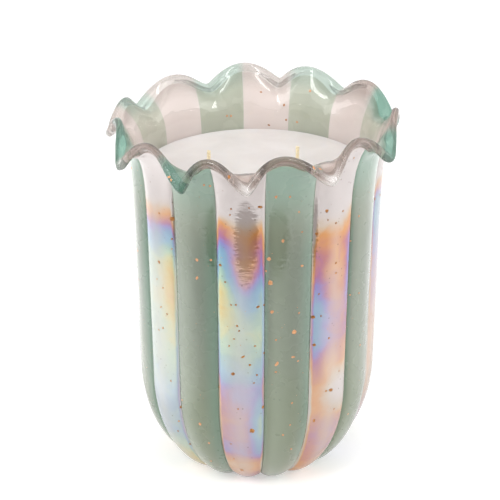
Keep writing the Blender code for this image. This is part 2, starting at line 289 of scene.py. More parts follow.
# The table's light in the glass: a plain strength, with more added left and right of the vessel. Edges
# are where a light starts or ends, and shares are what is left of it far to the left or far away
TABLE_LIGHT = 0.29
LEFT_LIGHT = 0.75
LEFT_LIGHT_EDGES = (-0.13, -0.08)
FAR_LEFT_SHARE = 0.15
FAR_LEFT_EDGES = (-0.34, -0.22)
RIGHT_LIGHT = 0.45
RIGHT_LIGHT_EDGES = (0.09, 0.16)
FRONT_EDGES = (-0.22, -0.10)
AWAY_SHARE = 0.75
AWAY_EDGES = (0.06, 0.17)

# Lamps: name, place, width, height and watts
LAMPS = (
    ("key", (-0.9, -0.9, 1.1), 1.0, 1.1, 4.8),
    ("fill", (1.0, -0.8, 0.7), 0.8, 1.0, 3.2),
    ("top", (0.1, 0.2, 1.4), 1.0, 1.0, 4.0),
    ("left_side", (-1.1, -0.1, 0.35), 1.0, 0.8, 4.0),
    ("right_side", (1.1, -0.1, 0.35), 1.0, 0.8, 2.4),
    ("left_strip", (-0.55, -0.75, 0.95), 0.16, 0.6, 2.6),
    ("right_strip", (0.65, -0.70, 0.85), 0.16, 0.6, 2.2),
)

# Sizes that follow from those above
NECK_HEIGHT = BELLY_HEIGHT + WALL_RISE
NECK_RADIUS = BELLY_RADIUS + WALL_SPREAD + NECK_SPREAD
NECK_LEAN = (WALL_SPREAD + NECK_SHARPNESS * NECK_SPREAD) / WALL_RISE
WAX_STATION = 1 + (WAX_TOP - BELLY_HEIGHT) / WALL_RISE
STRIPE_ANGLE = 360 / STRIPE_COUNT
COLUMN_COUNT = STRIPE_COUNT * COLUMNS_PER_STRIPE
CRIMP_STARTS = np.array([crimp[0] - CRIMPS[0][0] for crimp in CRIMPS])
CRIMP_SPANS = np.diff(np.append(CRIMP_STARTS, 360))
CRIMP_LENGTHS = np.array([crimp[1:] for crimp in CRIMPS])
LOBE_LENGTHS = np.array([lobe[:3] for lobe in LOBES])
LOBE_PLACES = np.array([lobe[3] for lobe in LOBES])
LOBE_FULLNESS = np.array([lobe[4] for lobe in LOBES])


def hand_laid(angle):
    """Angles in an even layout of stripes, moved to where the hand-laid stripes are."""
    return angle + STRIPE_TURN_AT_BACK * (1 - np.cos(np.radians(angle))) / 2


COLUMN_ANGLES = hand_laid(FIRST_STRIPE_ANGLE + np.arange(COLUMN_COUNT) * 360 / COLUMN_COUNT)


def around(angle, radius, height):
    """Points at angles from the front, radii from the axis and heights."""
    turn = np.radians(angle)
    parts = np.broadcast_arrays(radius * np.sin(turn), -radius * np.cos(turn), height)
    return np.stack(parts, axis=-1)


def unit(vectors):
    return vectors / np.linalg.norm(vectors, axis=-1, keepdims=True)


def eased(share):
    """A share from 0 to 1, eased at both ends."""
    share = np.clip(share, 0, 1)
    return share * share * (3 - 2 * share)


def between_crimps(angle):
    """The lobe that each angle is in, the share of the way across it, and how far it has risen there."""
    turn = (np.asarray(angle) - CRIMPS[0][0]) % 360
    index = np.searchsorted(CRIMP_STARTS, turn, side="right") - 1
    share = (turn - CRIMP_STARTS[index]) / CRIMP_SPANS[index]
    wave = np.sin(pi * share ** (np.log(0.5) / np.log(LOBE_PLACES[index])))
    fullness = LOBE_FULLNESS[index]
    least = CRIMP_ROUNDING ** fullness
    most = (1 + CRIMP_ROUNDING ** 2) ** (fullness / 2)
    swell = ((wave ** 2 + CRIMP_ROUNDING ** 2) ** (fullness / 2) - least) / (most - least)
    return index, share, swell


def flare(angle, part, left):
    """Radius and height along the flare, which ends short of the lip by what is left of the lip's band."""
    index, share, swell = between_crimps(angle)
    before = CRIMP_LENGTHS[index]
    after = CRIMP_LENGTHS[(index + 1) % len(CRIMPS)]
    between = before + (after - before) * share[..., None]
    lengths = between + (LOBE_LENGTHS[index] - between) * swell[..., None]
    lip_rise, bend_rise, lip_flare = np.moveaxis(lengths, -1, 0)
    bend_flare = NECK_LEAN * bend_rise
    band = left * (LIP_BAND_AT_CRIMPS + (LIP_BAND - LIP_BAND_AT_CRIMPS) * swell)
    reach = 1 - band / (2 * np.hypot(lip_flare - bend_flare, lip_rise - bend_rise))
    t = part * reach
    radius = NECK_RADIUS + bend_flare * 2 * t * (1 - t) + lip_flare * t ** 2
    height = NECK_HEIGHT + bend_rise * 2 * t * (1 - t) + lip_rise * t ** 2
    return radius, height


def outer_point(angle, station, left=1.0):
    """Points on the casing's outer face."""
    angle, station = np.broadcast_arrays(np.asarray(angle, float), np.asarray(station, float))
    turn = np.clip(station, 0, 1) * pi / 2
    part = np.clip(station - 1, 0, 1)
    base_radius = BASE_RADIUS + (BELLY_RADIUS - BASE_RADIUS) * np.sin(turn)
    wall_radius = BELLY_RADIUS + WALL_SPREAD * part + NECK_SPREAD * part ** NECK_SHARPNESS
    radius = np.where(station <= 1, base_radius, wall_radius)
    height = np.where(station <= 1, BELLY_HEIGHT * (1 - np.cos(turn)), BELLY_HEIGHT + WALL_RISE * part)
    rim_radius, rim_height = flare(angle, np.clip(station - 2, 0, 1), left)
    above = station > 2
    return around(angle, np.where(above, rim_radius, radius), np.where(above, rim_height, height))


def outward(angle, station, left=1.0):
    """The casing's outward directions, and the directions along the wall towards the lip."""
    station = np.asarray(station, float)
    low = np.maximum(station - NORMAL_STEP, 0.0)
    high = np.minimum(station + NORMAL_STEP, LIP_STATION)
    along = outer_point(angle, high, left) - outer_point(angle, low, left)
    step = np.degrees(NORMAL_STEP)
    across = outer_point(angle + step, station, left) - outer_point(angle - step, station, left)
    return unit(np.cross(across, along)), unit(along)


def inner_point(angle, station, left=1.0, inset=0.0):
    """Points on the casing's inner face, or inset from that face towards the hollow."""
    if station < 1:
        turn = station * pi / 2
        width = BELLY_RADIUS - CASING_WALL - FLOOR_RADIUS
        depth = BELLY_HEIGHT - FLOOR_THICKNESS
        lean = unit(np.array([depth * sin(turn), width * cos(turn)]))
        radius = FLOOR_RADIUS + width * sin(turn) - inset * lean[0]
        return around(angle, radius, FLOOR_THICKNESS + depth * (1 - cos(turn)) + inset * lean[1])
    normal, _ = outward(angle, station, left)
    return outer_point(angle, station, left) - normal * (CASING_WALL + inset)


def wall_stations(start):
    """Stations from a start near the base up to the stripes' end under the lip."""
    base = np.linspace(start, 1, BASE_ROWS + 1)
    wall = np.linspace(1, 2, WALL_ROWS + 1)[1:]
    rim = np.linspace(2, LIP_STATION, FLARE_ROWS + 1)[1:]
    return np.concatenate((base, wall, rim))


def tint(red, green, blue):
    """A screen colour, 0 to 255, as the linear values that shaders take."""
    shares = (red / 255, green / 255, blue / 255)
    linear = [s / 12.92 if s <= 0.04045 else ((s + 0.055) / 1.055) ** 2.4 for s in shares]
    return (*linear, 1.0)


def grey(value):
    return (value, value, value, 1.0)


class Nodes:
    """A node tree, with short calls for the nodes that the looks are made of."""

    def __init__(self, tree):
        self.tree = tree

    def node(self, kind, **values):
        made = self.tree.nodes.new(kind)
        for name, value in values.items():
            setattr(made, name, value)
        return made

    def feed(self, socket, value):
        """Link a socket, or set its plain value."""
        if isinstance(value, bpy.types.NodeSocket):
            self.tree.links.new(value, socket)
        else:
            socket.default_value = value

    def attribute(self, name):
        return self.node("ShaderNodeAttribute", attribute_name=name).outputs["Fac"]

    def place(self):
        return self.node("ShaderNodeTexCoord").outputs["Object"]

    def axes(self, vector):
        """A vector's x, y and z."""
        made = self.node("ShaderNodeSeparateXYZ")
        self.feed(made.inputs[0], vector)
        return tuple(made.outputs)

    def stretched(self, x, y, z):
        """The place on the piece, stretched along each axis."""
        mapping = self.node("ShaderNodeMapping")
        self.feed(mapping.inputs["Vector"], self.place())
        mapping.inputs["Scale"].default_value = (x, y, z)
        return mapping.outputs["Vector"]

    def noise(self, scale, detail=2.0, distortion=0.0, vector=None):
        made = self.node("ShaderNodeTexNoise")
        self.feed(made.inputs["Vector"], vector or self.place())
        made.inputs["Scale"].default_value = scale
        made.inputs["Detail"].default_value = detail
        made.inputs["Distortion"].default_value = distortion
        return made.outputs["Fac"]

    def sway(self, amount, *noise):
        """Noise as a change that goes both ways."""
        return self.maths("MULTIPLY", self.maths("SUBTRACT", self.noise(*noise), 0.5), amount)

    def cells(self, scale):
        made = self.node("ShaderNodeTexVoronoi")
        self.feed(made.inputs["Vector"], self.place())
        made.inputs["Scale"].default_value = scale
        return made.outputs["Distance"]

    def maths(self, operation, a, b=0.0):
        made = self.node("ShaderNodeMath", operation=operation)
        self.feed(made.inputs[0], a)
        self.feed(made.inputs[1], b)
        return made.outputs[0]

    def fit(self, value, low, high, to_low=0.0, to_high=1.0):
        """A value in one range, eased into another."""
        made = self.node("ShaderNodeMapRange", interpolation_type="SMOOTHSTEP")
        self.feed(made.inputs["Value"], value)
        for name, limit in (("From Min", low), ("From Max", high), ("To Min", to_low), ("To Max", to_high)):
            made.inputs[name].default_value = limit
        return made.outputs["Result"]

    def spread(self, noise, low, high):
        """Noise, fitted from a low value to a high one."""
        return self.fit(noise, NOISE_LOW, NOISE_HIGH, low, high)

    def ramp(self, value, stops, interpolation="EASE"):
        """A colour ramp through place and colour pairs."""
        made = self.node("ShaderNodeValToRGB")
        made.color_ramp.interpolation = interpolation
        elements = made.color_ramp.elements
        while len(elements) < len(stops):
            elements.new(1.0)
        for element, (position, colour) in zip(elements, stops):
            element.position = position
            element.color = colour
        self.feed(made.inputs["Fac"], value)
        return made.outputs["Color"]

    def shades(self, noise, *colours):
        """Noise as a run of evenly spaced colours."""
        places = np.linspace(NOISE_LOW, NOISE_HIGH, len(colours))
        return self.ramp(noise, list(zip(places, colours)))

    def mix(self, factor, a, b):
        made = self.node("ShaderNodeMix", data_type="RGBA")
        self.feed(made.inputs["Factor"], factor)
        colours = [socket for socket in made.inputs if socket.type == "RGBA"]
        self.feed(colours[0], a)
        self.feed(colours[1], b)
        return next(socket for socket in made.outputs if socket.type == "RGBA")


class Look(Nodes):
    """A material's nodes, with calls for its Principled shader."""

    def __init__(self, name):
        self.material = bpy.data.materials.new(name)
        self.material.use_nodes = True
        super().__init__(self.material.node_tree)
        self.shader = self.tree.nodes["Principled BSDF"]

    def set(self, **values):
        """Feed the shader's inputs, named with underscores for spaces."""
        for name, value in values.items():
            self.feed(self.shader.inputs[name.replace("_", " ")], value)

    def bump(self, height, distance):
        made = self.node("ShaderNodeBump")
        self.feed(made.inputs["Height"], height)
        made.inputs["Distance"].default_value = distance
        self.set(Normal=made.outputs["Normal"], Coat_Normal=made.outputs["Normal"])

    def seeds(self):
        """Small pits and bubbles, here and there in the glass."""
        near = self.fit(self.cells(300), 0.05, 0.17, SEED_STRENGTH, 0.0)
        return self.maths("MULTIPLY", near, self.fit(self.noise(75, 1), 0.48, 0.60))

    def make_milky(self):
        """What green and pearl glass share: light that spreads inside, and a slightly uneven face."""
        self.set(
            IOR=GLASS_IOR,
            Subsurface_Weight=0.4,
            Subsurface_Radius=(1.0, 1.0, 1.0),
            Subsurface_Scale=0.002,
        )
        broad = self.noise(40, 1, vector=self.stretched(1.0, 1.0, 0.3))
        streaks = self.noise(420, 1, vector=self.stretched(0.5, 0.5, 2.0))
        broad = self.maths("MULTIPLY", broad, 0.5)
        self.bump(self.maths("ADD", broad, self.maths("MULTIPLY", streaks, 0.09)), 0.0003)

    def let_shadow_light_through(self, colour):
        """Let lamp light pass through clear glass to what lies behind it."""
        through = self.node("ShaderNodeBsdfTransparent")
        through.inputs["Color"].default_value = colour
        choose = self.node("ShaderNodeMixShader")
        self.feed(choose.inputs["Fac"], self.node("ShaderNodeLightPath").outputs["Is Shadow Ray"])
        self.feed(choose.inputs[1], self.shader.outputs["BSDF"])
        self.feed(choose.inputs[2], through.outputs["BSDF"])
        self.feed(self.tree.nodes["Material Output"].inputs["Surface"], choose.outputs["Shader"])


def clear_glass_look():
    """Clear blown glass; its lip smoky in front with painted shade, paler behind with painted light, green
    where green stripes end.
    """
    look = Look("clear_blown_glass")
    clear = tint(250, 249, 247)
    lip = look.attribute("lip")
    green = look.attribute("green")
    # The smoky front is partly the glass's tint and partly painted shade for the dark room seen in it; the
    # pale back is painted light.
    front_tint_and_painted_shade = look.mix(green, tint(172, 157, 149), tint(120, 155, 141))
    pale = look.mix(green, tint(200, 193, 188), tint(179, 192, 183))
    lip_colour = look.mix(look.attribute("pale"), front_tint_and_painted_shade, pale)
    lip_colour = look.mix(look.attribute("tip"), lip_colour, clear)
    look.set(
        Base_Color=look.mix(lip, clear, lip_colour),
        Roughness=look.spread(look.noise(90, 3), 0.01, 0.04),
        IOR=GLASS_IOR,
        Transmission_Weight=look.fit(lip, 0.2, 1.0, 1.0, 0.74),
    )
    look.bump(look.noise(70), 0.0004)
    look.let_shadow_light_through(tint(244, 242, 240))
    return look.material


def green_glass_look():
    """Milky sage glass, turning teal at its edges and where it thins out in the ruffle."""
    look = Look("sage_green_glass")
    across = look.attribute("across")
    fall = look.attribute("fall")
    skin = look.attribute("skin")
    streaks = look.noise(34, 5, 0.6, look.stretched(1.0, 1.0, 0.10))
    sage = look.ramp(
        streaks,
        ((0.25, tint(99, 113, 93)), (0.5, tint(109, 121, 101)), (0.8, tint(119, 129, 110))),
    )
    left = look.fit(across, -0.98, -0.80, 0.55, 0.0)
    right = look.fit(across, 0.20, 0.98, 0.0, 0.60)
    colour = look.mix(look.maths("MAXIMUM", left, right), sage, tint(84, 132, 108))
    low = look.fit(fall, 0.45, 0.8, 0.0, 0.6)
    olive = look.maths("MULTIPLY", low, look.fit(across, 0.2, 0.9, 1.0, 0.3))
    colour = look.mix(olive, colour, tint(122, 132, 98))
    # Painted reflection: a paler band over the left of each rib stands in for the bright light on the left
    # mirrored in it.
    painted_sheen_starts = look.fit(across, -0.95, -0.55, 0.0, 0.4)
    painted_sheen_ends = look.fit(across, -0.55, 0.3, 0.4, 0.0)
    colour = look.mix(look.maths("MINIMUM", painted_sheen_starts, painted_sheen_ends), colour, tint(152, 164, 142))
    shoulder = look.fit(fall, 0.12, 0.3, 0.6, 0.0)
    colour = look.mix(shoulder, colour, tint(154, 160, 140))
    rim = look.fit(fall, 0.04, 0.22, 0.85, 0.0)
    colour = look.mix(rim, colour, tint(142, 175, 157))
    colour = look.mix(look.seeds(), colour, tint(96, 108, 94))

    inside = look.ramp(streaks, ((0.25, tint(178, 183, 168)), (0.8, tint(194, 198, 184))))
    x, _, _ = look.axes(look.place())
    # Painted light: the inside turns paler towards the left and right of the mouth.
    beside = look.fit(look.maths("ABSOLUTE", x), *INSIDE_PAINTED_LIGHT_EDGES, 0.0, 0.6)
    inside = look.mix(beside, inside, tint(206, 201, 190))
    look.set(
        Base_Color=look.mix(skin, inside, colour),
        Roughness=look.spread(look.noise(60, 3), 0.22, 0.34),
        Coat_Weight=look.maths("MULTIPLY", skin, 0.8),
        Coat_Roughness=0.02,
        Coat_IOR=1.7,
    )
    look.make_milky()
    return look.material


def pearl_glass_look():
    """Pearl white glass under a thin bright film, whose colours follow the film's thickness."""
    look = Look("pearl_iridescent_glass")
    bare = tint(205, 197, 195)
    sides = look.maths("ABSOLUTE", look.attribute("across"))
    film = look.attribute("film")
    skin = look.attribute("skin")
    started = look.fit(film, 0.02, 0.12)
    wander = look.maths("ADD", look.sway(0.20, 26, 2.0, 0.4), look.sway(0.16, 120, 3.0, 0.8))
    phase = look.maths("ADD", film, look.maths("MULTIPLY", wander, started))
    phase = look.maths("SUBTRACT", phase, look.fit(sides, 0.84, 0.96, 0.0, 0.15))
    pastel = look.ramp(
        phase,
        ((0.00, bare), (0.09, tint(204, 183, 160)), (0.17, tint(212, 152, 96)),
         (0.25, tint(190, 130, 120)), (0.31, tint(168, 112, 150)), (0.37, tint(138, 132, 190)),
         (0.44, tint(124, 158, 188)), (0.51, tint(130, 170, 194)), (0.57, tint(148, 180, 174)),
         (0.63, tint(168, 194, 170)), (0.70, tint(196, 194, 144)), (0.78, tint(204, 178, 98)),
         (0.85, tint(206, 164, 100)), (0.92, tint(188, 130, 132)), (1.00, tint(152, 134, 176))),
        "LINEAR",
    )
    strength = look.fit(look.maths("ADD", sides, look.sway(0.8, 40, 2.0)), 0.0, 0.8, 0.58, 1.0)
    strength = look.maths("MULTIPLY", strength, look.attribute("vivid"))
    colour = look.mix(strength, tint(202, 197, 193), pastel)
    colour = look.mix(started, bare, colour)
    # Painted highlight: the rounded edges of each rib are lightened, standing in for the light that they
    # catch.
    colour = look.mix(look.fit(sides, 0.94, 0.995, 0.0, 0.5), colour, tint(222, 218, 212))
    colour = look.mix(look.seeds(), colour, tint(122, 110, 102))
    look.set(
        Base_Color=look.mix(skin, tint(224, 214, 211), colour),
        Metallic=look.maths("MULTIPLY", skin, 0.38),
        Roughness=look.spread(look.noise(60, 3), 0.03, 0.06),
    )
    look.make_milky()
    return look.material


def foil_look():
    """Copper and gold leaf, mottled from flake to flake, and paler on the green stripes."""
    look = Look("copper_foil")
    mottle = look.noise(900)
    dark = look.shades(mottle, tint(128, 82, 44), tint(170, 112, 58), tint(196, 138, 78))
    pale = look.shades(mottle, tint(196, 128, 80), tint(222, 160, 112), tint(236, 186, 142))
    look.set(
        Base_Color=look.mix(look.attribute("pale"), dark, pale),
        Metallic=0.3,
        Roughness=look.spread(mottle, 0.30, 0.55),
    )
    look.bump(look.noise(1500), 0.0001)
    return look.material


def wax_look():
    """Soft white wax with a faint bloom and pour marks."""
    look = Look("soft_white_wax")
    look.set(
        Base_Color=look.shades(look.noise(55, 4, 0.4), tint(225, 219, 216), tint(233, 228, 225)),
        Roughness=look.spread(look.noise(140, 3), 0.40, 0.55),
        Subsurface_Weight=0.5,
        Subsurface_Radius=(1.0, 0.85, 0.7),
        Subsurface_Scale=0.004,
    )
    look.bump(look.noise(320, 3), 0.00008)
    return look.material


def cotton_look():
    """Waxed cotton yarn with fine fibres along each strand."""
    look = Look("waxed_cotton")
    fibres = look.noise(2600, 3, vector=look.stretched(1.0, 1.0, 0.25))
    look.set(
        Base_Color=look.shades(fibres, tint(240, 221, 176), tint(252, 240, 212)),
        Roughness=look.spread(fibres, 0.75, 0.95),
        Sheen_Weight=0.3,
    )
    look.bump(fibres, 0.00008)
    return look.material


def tin_look():
    """Plain tinned sheet with a drawn grain."""
    look = Look("tinned_sheet")
    grain = look.noise(900, 4, vector=look.stretched(1.0, 0.08, 1.0))
    look.set(
        Base_Color=look.shades(grain, tint(196, 196, 196), tint(222, 222, 220)),
        Metallic=1.0,
        Roughness=look.spread(grain, 0.25, 0.45),
    )
    return look.material


def adhesive_look():
    """White foam adhesive with open pores."""
    look = Look("foam_adhesive")
    pores = look.cells(1800)
    look.set(
        Base_Color=look.ramp(pores, ((0.1, tint(206, 204, 198)), (0.5, tint(236, 235, 230)))),
        Roughness=0.85,
    )
    look.bump(pores, 0.0001)
    return look.material


def add_object(name, data):
    """A new object in the scene, for a mesh, curve, lamp or camera."""
    made = bpy.data.objects.new(name, data)
    bpy.context.scene.collection.objects.link(made)
    return made


def mesh_piece(name, points, faces, material, attributes):
    """A piece from points and faces, with its attributes, riding on the vessel."""
    mesh = bpy.data.meshes.new(name)
    mesh.from_pydata(points.tolist(), [], faces)
    for key, values in attributes.items():
        layer = mesh.attributes.new(key, "FLOAT", "POINT")
        layer.data.foreach_set("value", np.asarray(values, np.float32).ravel())
    mesh.shade_smooth()
    mesh.set_sharp_from_angle(angle=radians(SMOOTH_ANGLE))
    mesh.materials.append(material)
    mesh.update()
    piece = add_object(name, mesh)
    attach(piece, "root")
    return piece


def ring_faces(ring_count, point_count):
    """Quads between neighbouring closed rings of equally many points."""
    faces = []
    for row in range(ring_count - 1):
        low = row * point_count
        high = low + point_count
        for i in range(point_count):
            j = (i + 1) % point_count
            faces.append((low + i, low + j, high + j, high + i))
    return faces


def capped_faces(ring_count, point_count):
    """Quads between the rings, with the first and the last ring filled."""
    last = (ring_count - 1) * point_count
    ends = [tuple(range(point_count))[::-1], tuple(range(last, last + point_count))]
    return ring_faces(ring_count, point_count) + ends


def lip_tints(swell):
    """Around the lip: how green it is over the green stripes, how pale behind as painted light, and how
    clear at its tips.
    """
    across = np.arange(COLUMN_COUNT) / COLUMNS_PER_STRIPE % 2
    over_green = 1 - eased((np.abs(across - 0.5) - LIP_GREEN_HALF) / LIP_GREEN_EDGE)
    from_front = np.abs((COLUMN_ANGLES - LIP_FRONT + 180) % 360 - 180)
    # Away from the front the lip leaves its painted shade, and behind it turns pale with painted light.
    green = over_green * eased((from_front - LIP_PAINTED_SHADE_HALF) / LIP_GREEN_FADE)
    pale = eased((from_front - LIP_PAINTED_LIGHT_FROM) / LIP_PAINTED_LIGHT_FADE)
    tip = (1 - swell) ** LIP_TIP_POWER * (1 - green) * (1 - pale)
    return green, pale, tip


def lip_band_ring(face, way, left, half):
    """A ring on one face of the lip's bare band, standing out more the nearer it is to the bead."""
    normal, _ = outward(COLUMN_ANGLES, LIP_STATION, left)
    proud = (half - CASING_WALL / 2) * eased(1 - left)
    return face(COLUMN_ANGLES, LIP_STATION, left) + way * normal * proud


def make_casing(material):
    """The clear vessel: up the outer face, over the rounded lip and down the inner face."""
    stations = wall_stations(0)
    lefts = 1 - np.arange(1, LIP_BAND_ROWS) / LIP_BAND_ROWS
    _, _, swell = between_crimps(COLUMN_ANGLES)
    half = (LIP_THICKNESS / 2 * (1 + LIP_SWELL_AT_CRIMPS * (1 - swell)))[:, None]
    lip_normal, lip_along = outward(COLUMN_ANGLES, LIP_STATION, 0.0)
    lip_middle = outer_point(COLUMN_ANGLES, LIP_STATION, 0.0) - lip_normal * CASING_WALL / 2

    rings = [outer_point(COLUMN_ANGLES, station) for station in stations]
    rings += [lip_band_ring(outer_point, 1, left, half) for left in lefts]
    bead_start = len(rings)
    for turn in np.linspace(0, pi, LIP_ROWS + 1):
        rings.append(lip_middle + (lip_normal * cos(turn) + lip_along * sin(turn)) * half)
    bead_end = len(rings)
    rings += [lip_band_ring(inner_point, -1, left, half) for left in lefts[::-1]]
    rings += [inner_point(COLUMN_ANGLES, station) for station in stations[::-1]]

    wall_lip = eased(stations - 2) ** LIP_TINT_POWER
    lip = np.concatenate((wall_lip, np.ones(len(rings) - 2 * len(stations)), wall_lip[::-1]))
    bead = np.zeros(len(rings))
    bead[bead_start - 1:bead_end + 1] = 1.0
    green, pale, tip = lip_tints(swell)
    attributes = {
        "lip": np.repeat(lip, COLUMN_COUNT),
        "green": np.tile(green, len(rings)),
        "pale": np.tile(pale, len(rings)),
        "tip": np.outer(bead, tip),
    }
    faces = capped_faces(len(rings), COLUMN_COUNT)
    casing = mesh_piece("clear_vessel", np.concatenate(rings), faces, material, attributes)
    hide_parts("clear_casing")
    return casing


def stripe_thickness(across, station):
    """The glass thickness over a stripe: a low crown with rounded edges, tapering out under the lip."""
    rise = np.clip(station - 2, 0, 1)
    crown = STRIPE_CROWN + (STRIPE_CROWN_AT_LIP - STRIPE_CROWN) * eased(rise)
    edge_crown = np.minimum(STRIPE_EDGE, crown)
    body = edge_crown + (crown - edge_crown) * (1 - across ** 2)
    edge = np.clip((np.abs(across) - 1 + STRIPE_EDGE_ROUNDING) / STRIPE_EDGE_ROUNDING, 0, 1)
    taper = STRIPE_END_SHARE + (1 - STRIPE_END_SHARE) * eased((1 - rise) / STRIPE_END_TAPER)
    return body * np.sqrt(1 - (STRIPE_EDGE_FALL * edge) ** 2) * taper


def stripe_start(index):
    """The angle where a stripe starts, in an even layout."""
    return FIRST_STRIPE_ANGLE + index * STRIPE_ANGLE


def stripe_point(first_angle, across, station):
    """Points on a stripe's outer face, the matching points on its seat, and the outward directions."""
    angle = hand_laid(first_angle + STRIPE_ANGLE * (across + 1) / 2)
    normal, _ = outward(angle, station)
    face = outer_point(angle, station)
    top = face + normal * stripe_thickness(across, station)[..., None]
    return top, face - normal * FUSED_DEPTH, normal


def foot_station():
    """The station where a stripe's crown stands just clear of the table."""
    low, high = 0.0, 1.0
    for _ in range(HALVINGS):
        middle = np.array((low + high) / 2)
        crown, _, _ = stripe_point(0.0, np.array(0.0), middle)
        if crown[2] < STRIPE_FOOT_LIFT:
            low = float(middle)
        else:
            high = float(middle)
    return high


def unseen_film(stripe):
    """Bands borrowed from a front stripe, and seeded patches, for a stripe that isn't in the photograph."""
    random = Random(FILM_SEED + stripe)
    bands = random.choice(list(FILM_BANDS.values()))
    patches = [[random.uniform(*limits) for limits in UNSEEN_PATCH_LIMITS] for _ in range(UNSEEN_PATCHES)]
    return bands, patches


def film_steps(stripe, across, fall):
    """The film's steps over one stripe, from its bands and patches."""
    if stripe in FILM_BANDS:
        bands = FILM_BANDS[stripe]
        patches = [patch[1:] for patch in FILM_PATCHES if patch[0] == stripe]
    else:
        bands, patches = unseen_film(stripe)
    step = np.interp(fall, *zip(*bands))
    for down, sideways, height, width, change in patches:
        step = step + change * np.exp(-((fall - down) / height) ** 2 - ((across - sideways) / width) ** 2)
    return np.maximum(step, 0.0)


def make_stripe(index, material):
    """One rib of glass on the casing, from its foot to just under the lip."""
    kind = STRIPE_KINDS[index % 2]
    number = index // 2 + 1
    across = np.sin(np.linspace(-pi / 2, pi / 2, COLUMNS_PER_STRIPE + 1)) * STRIPE_FILL
    grid_across, grid_station = np.meshgrid(across, wall_stations(foot_station()))
    top, seat, _ = stripe_point(stripe_start(index), grid_across, grid_station)
    rings = np.concatenate((top, seat[:, ::-1]), axis=1)
    row_count, ring_count = rings.shape[:2]

    faces = ring_faces(row_count, ring_count)
    last = (row_count - 1) * ring_count
    for i in range(COLUMNS_PER_STRIPE):
        inner = ring_count - 1 - i
        faces.append((i, inner, inner - 1, i + 1))
        faces.append((last + i, last + i + 1, last + inner - 1, last + inner))

    ring_across = np.concatenate((grid_across, grid_across[:, ::-1]), axis=1)
    fall = np.clip(1 - rings[..., 2] / FILM_TOP, 0, 1)
    skin = np.concatenate((np.ones_like(grid_across), np.zeros_like(grid_across)), axis=1)
    attributes = {"across": ring_across, "fall": fall, "skin": skin}
    if kind == "pearl":
        attributes["film"] = film_steps(index, ring_across, fall)
        vivid = FILM_VIVID_STRIPES.get(index, FILM_VIVID_UNSEEN)
        attributes["vivid"] = vivid * np.interp(fall, FILM_VIVID_FALL, FILM_VIVID)
    stripe = mesh_piece(f"{kind}_rib_{number}", rings.reshape(-1, 3), faces, material, attributes)
    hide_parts(f"{kind}_stripe_{number}")
    return stripe


def make_wax(material):
    """The poured wax, with a slight wave on top and a rise where it wets the glass."""
    base = np.linspace(0, 1, BASE_ROWS + 1)
    wall = np.linspace(1, WAX_STATION, WALL_ROWS + 1)[1:]
    rings = [inner_point(COLUMN_ANGLES, station, inset=-FUSED_DEPTH) for station in chain(base, wall)]
    edge = rings[-1]
    rings[-1] = edge + (0, 0, MENISCUS_RISE)
    rim_radius = np.hypot(edge[:, 0], edge[:, 1])
    waves = WAX_WAVE_COUNT * np.radians(COLUMN_ANGLES)
    for share in np.linspace(1, WAX_MIDDLE, WAX_RINGS)[1:] ** WAX_RING_CROWDING:
        inset = rim_radius * (1 - share)
        wave = WAX_WAVE * np.sin(waves + WAX_WAVE_TWIST * share) * share
        height = WAX_TOP + MENISCUS_RISE * np.exp(-inset / MENISCUS_WIDTH) + wave
        rings.append(around(COLUMN_ANGLES, rim_radius * share, height))
    faces = capped_faces(len(rings), COLUMN_COUNT)
    wax = mesh_piece("poured_wax", np.concatenate(rings), faces, material, {})
    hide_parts("wax_fill")


def make_wick(node, material):
    """A braid of cotton strands in the place of one plain wick."""
    low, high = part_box(node)
    middle = (low + high) / 2
    curve = bpy.data.curves.new(f"{node}_braid", "CURVE")
    curve.dimensions = "3D"
    curve.bevel_depth = STRAND_RADIUS
    curve.bevel_resolution = STRAND_SMOOTHNESS
    curve.use_fill_caps = True
    count = int((high.z - low.z) / BRAID_PITCH * BRAID_POINTS)
    for strand in range(STRAND_COUNT):
        spline = curve.splines.new("POLY")
        spline.points.add(count)
        for i, point in enumerate(spline.points):
            height = low.z + (high.z - low.z) * i / count
            turn = 2 * pi * ((height - low.z) / BRAID_PITCH + strand / STRAND_COUNT)
            x = middle.x + BRAID_WIDTH * sin(turn)
            y = middle.y + BRAID_DEPTH * sin(2 * turn)
            point.co = (x, y, height, 1)
    curve.materials.append(material)
    wick = add_object(f"{node}_braid", curve)
    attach(wick, "root")
    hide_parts(node)


def on_green(place):
    """1 where a place lies over a green stripe, and 0 over a pearl one."""
    start = COLUMN_ANGLES[0]
    angle = (np.degrees(np.arctan2(place[0], -place[1])) - start) % 360 + start
    column = np.searchsorted(COLUMN_ANGLES, angle, "right") - 1
    return 1.0 - column // COLUMNS_PER_STRIPE % 2


